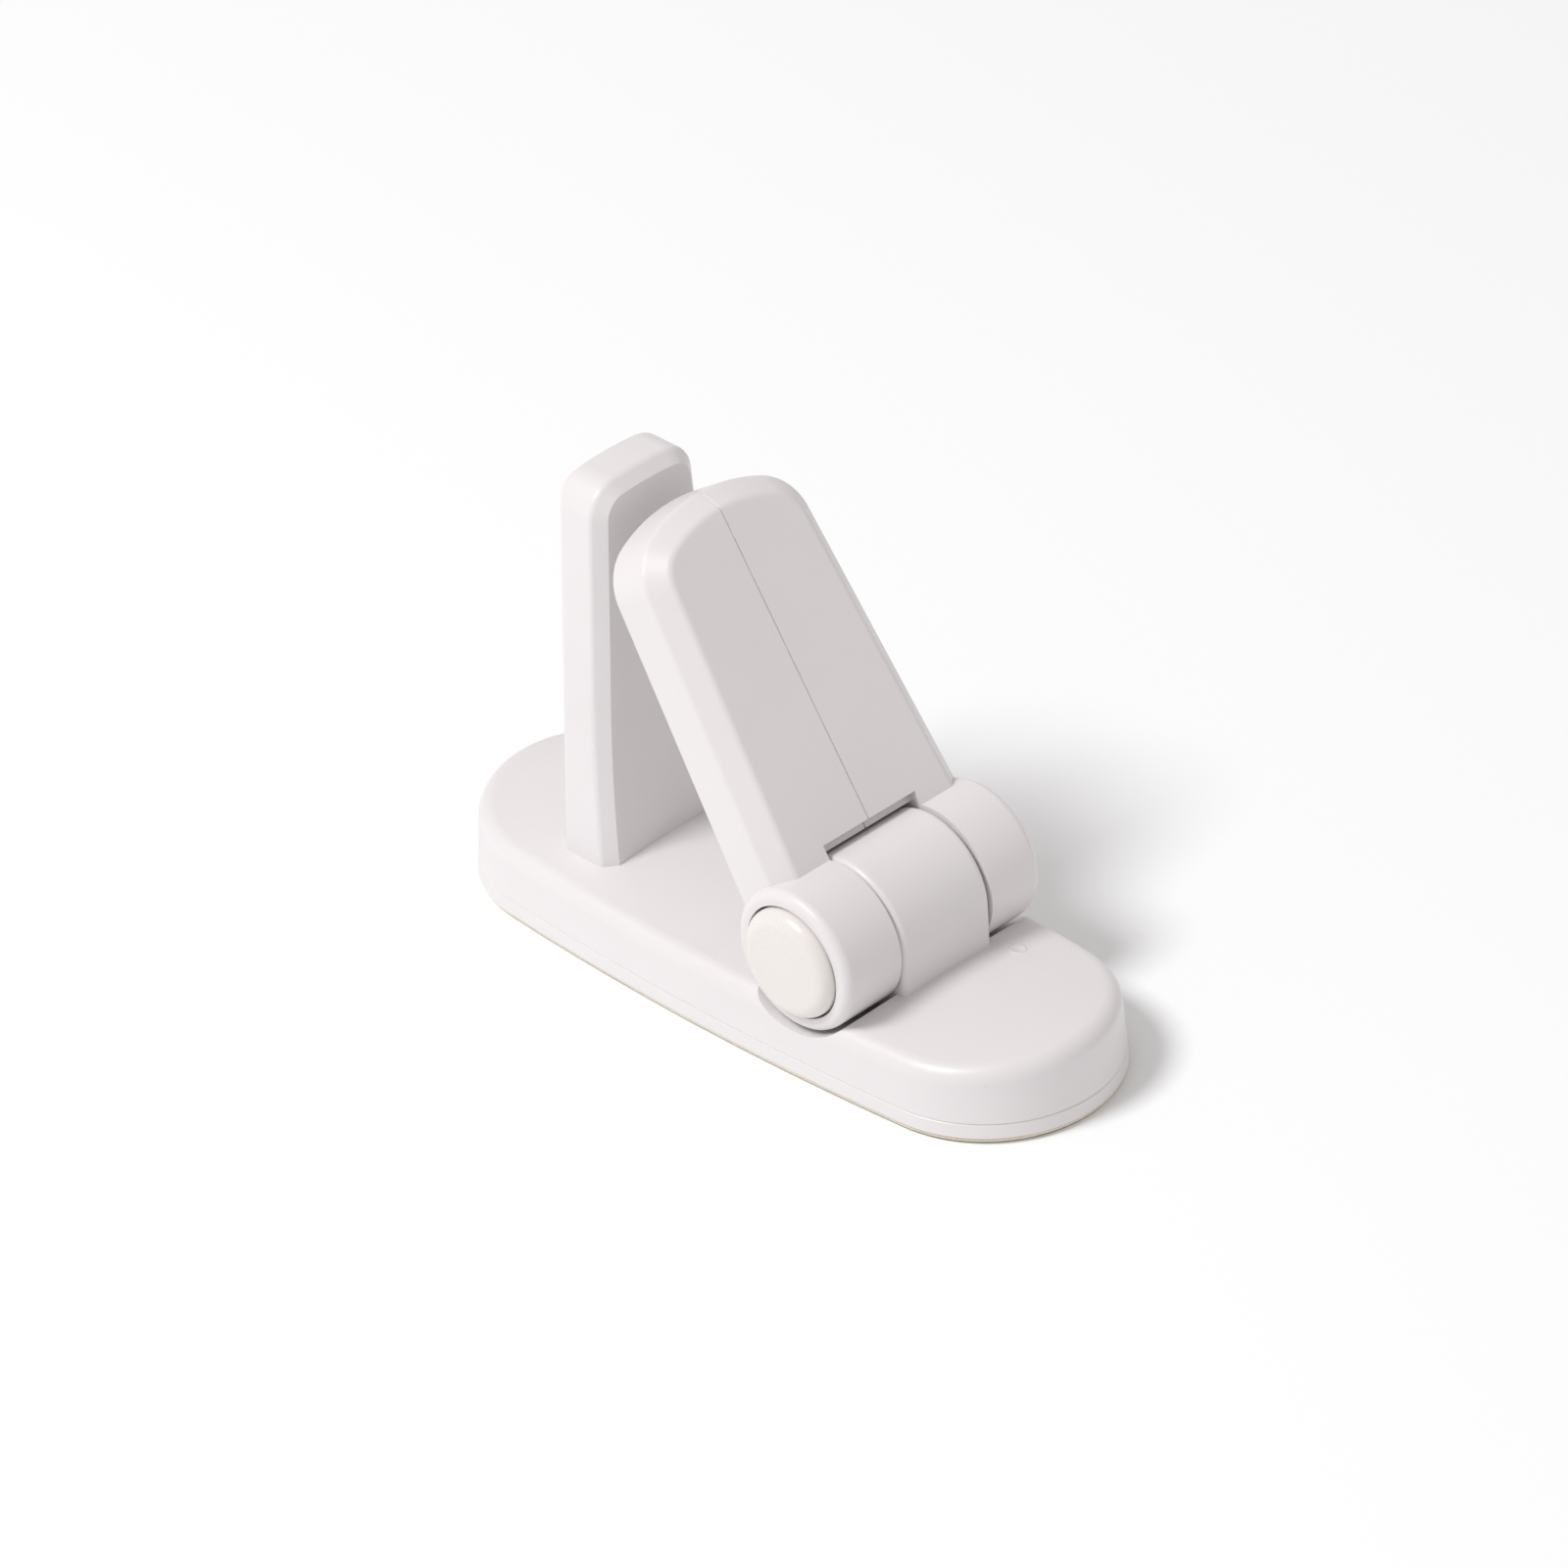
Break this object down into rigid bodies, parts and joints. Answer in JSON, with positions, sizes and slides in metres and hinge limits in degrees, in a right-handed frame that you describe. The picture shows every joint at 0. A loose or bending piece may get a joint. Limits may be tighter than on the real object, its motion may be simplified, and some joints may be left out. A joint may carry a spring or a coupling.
{
  "type": "door lever lock",
  "caption": "Self-adhesive child-safety door lever lock: rounded base with a fixed post, a hinged arm leaning on to it and a round push button that frees the arm.",
  "frame": {"origin": "centre of the adhesive face, on the surface the lock sticks to", "axes": "+X along the base from the post to the hinge, +Z out of the door; the push button is on the -Y side"},
  "size_m": [0.105, 0.039, 0.0668],
  "materials": {
    "white_plastic": "satin moulded ABS",
    "ivory_plastic": "satin moulded ABS, a little warmer than the body",
    "acetal": "natural acetal",
    "zinc_steel": "zinc plated",
    "pin_steel": "ground",
    "spring_steel": "drawn wire",
    "foam_tape": "closed-cell foam tape",
    "liner_film": "smooth release film"
  },
  "bodies": {
    "base": {"base_shell": "white_plastic", "base_plate": "white_plastic", "base_screws": "zinc_steel", "adhesive_pad": "foam_tape", "release_liner": "liner_film", "return_spring": "spring_steel"},
    "arm": {"arm_half_left": "white_plastic", "arm_half_right": "white_plastic", "arm_screws": "zinc_steel", "hinge_pin": "pin_steel"},
    "button": {"push_button": "ivory_plastic", "lock_gear": "acetal", "button_screw": "zinc_steel"}
  },
  "joints": [
    {"name": "arm_swing", "type": "hinge", "parent": "base", "child": "arm", "pos_m": [0.01795, 0, 0.01771], "axis": [0, 1, 0], "range_deg": [0, 120]},
    {"name": "button_press", "type": "slide", "parent": "base", "child": "button", "axis": [0, 1, 0], "range_m": [0, 0.0032], "stiffness_N_per_m": 400, "springref_m": -0.004, "deforming": ["return_spring"]}
  ]
}
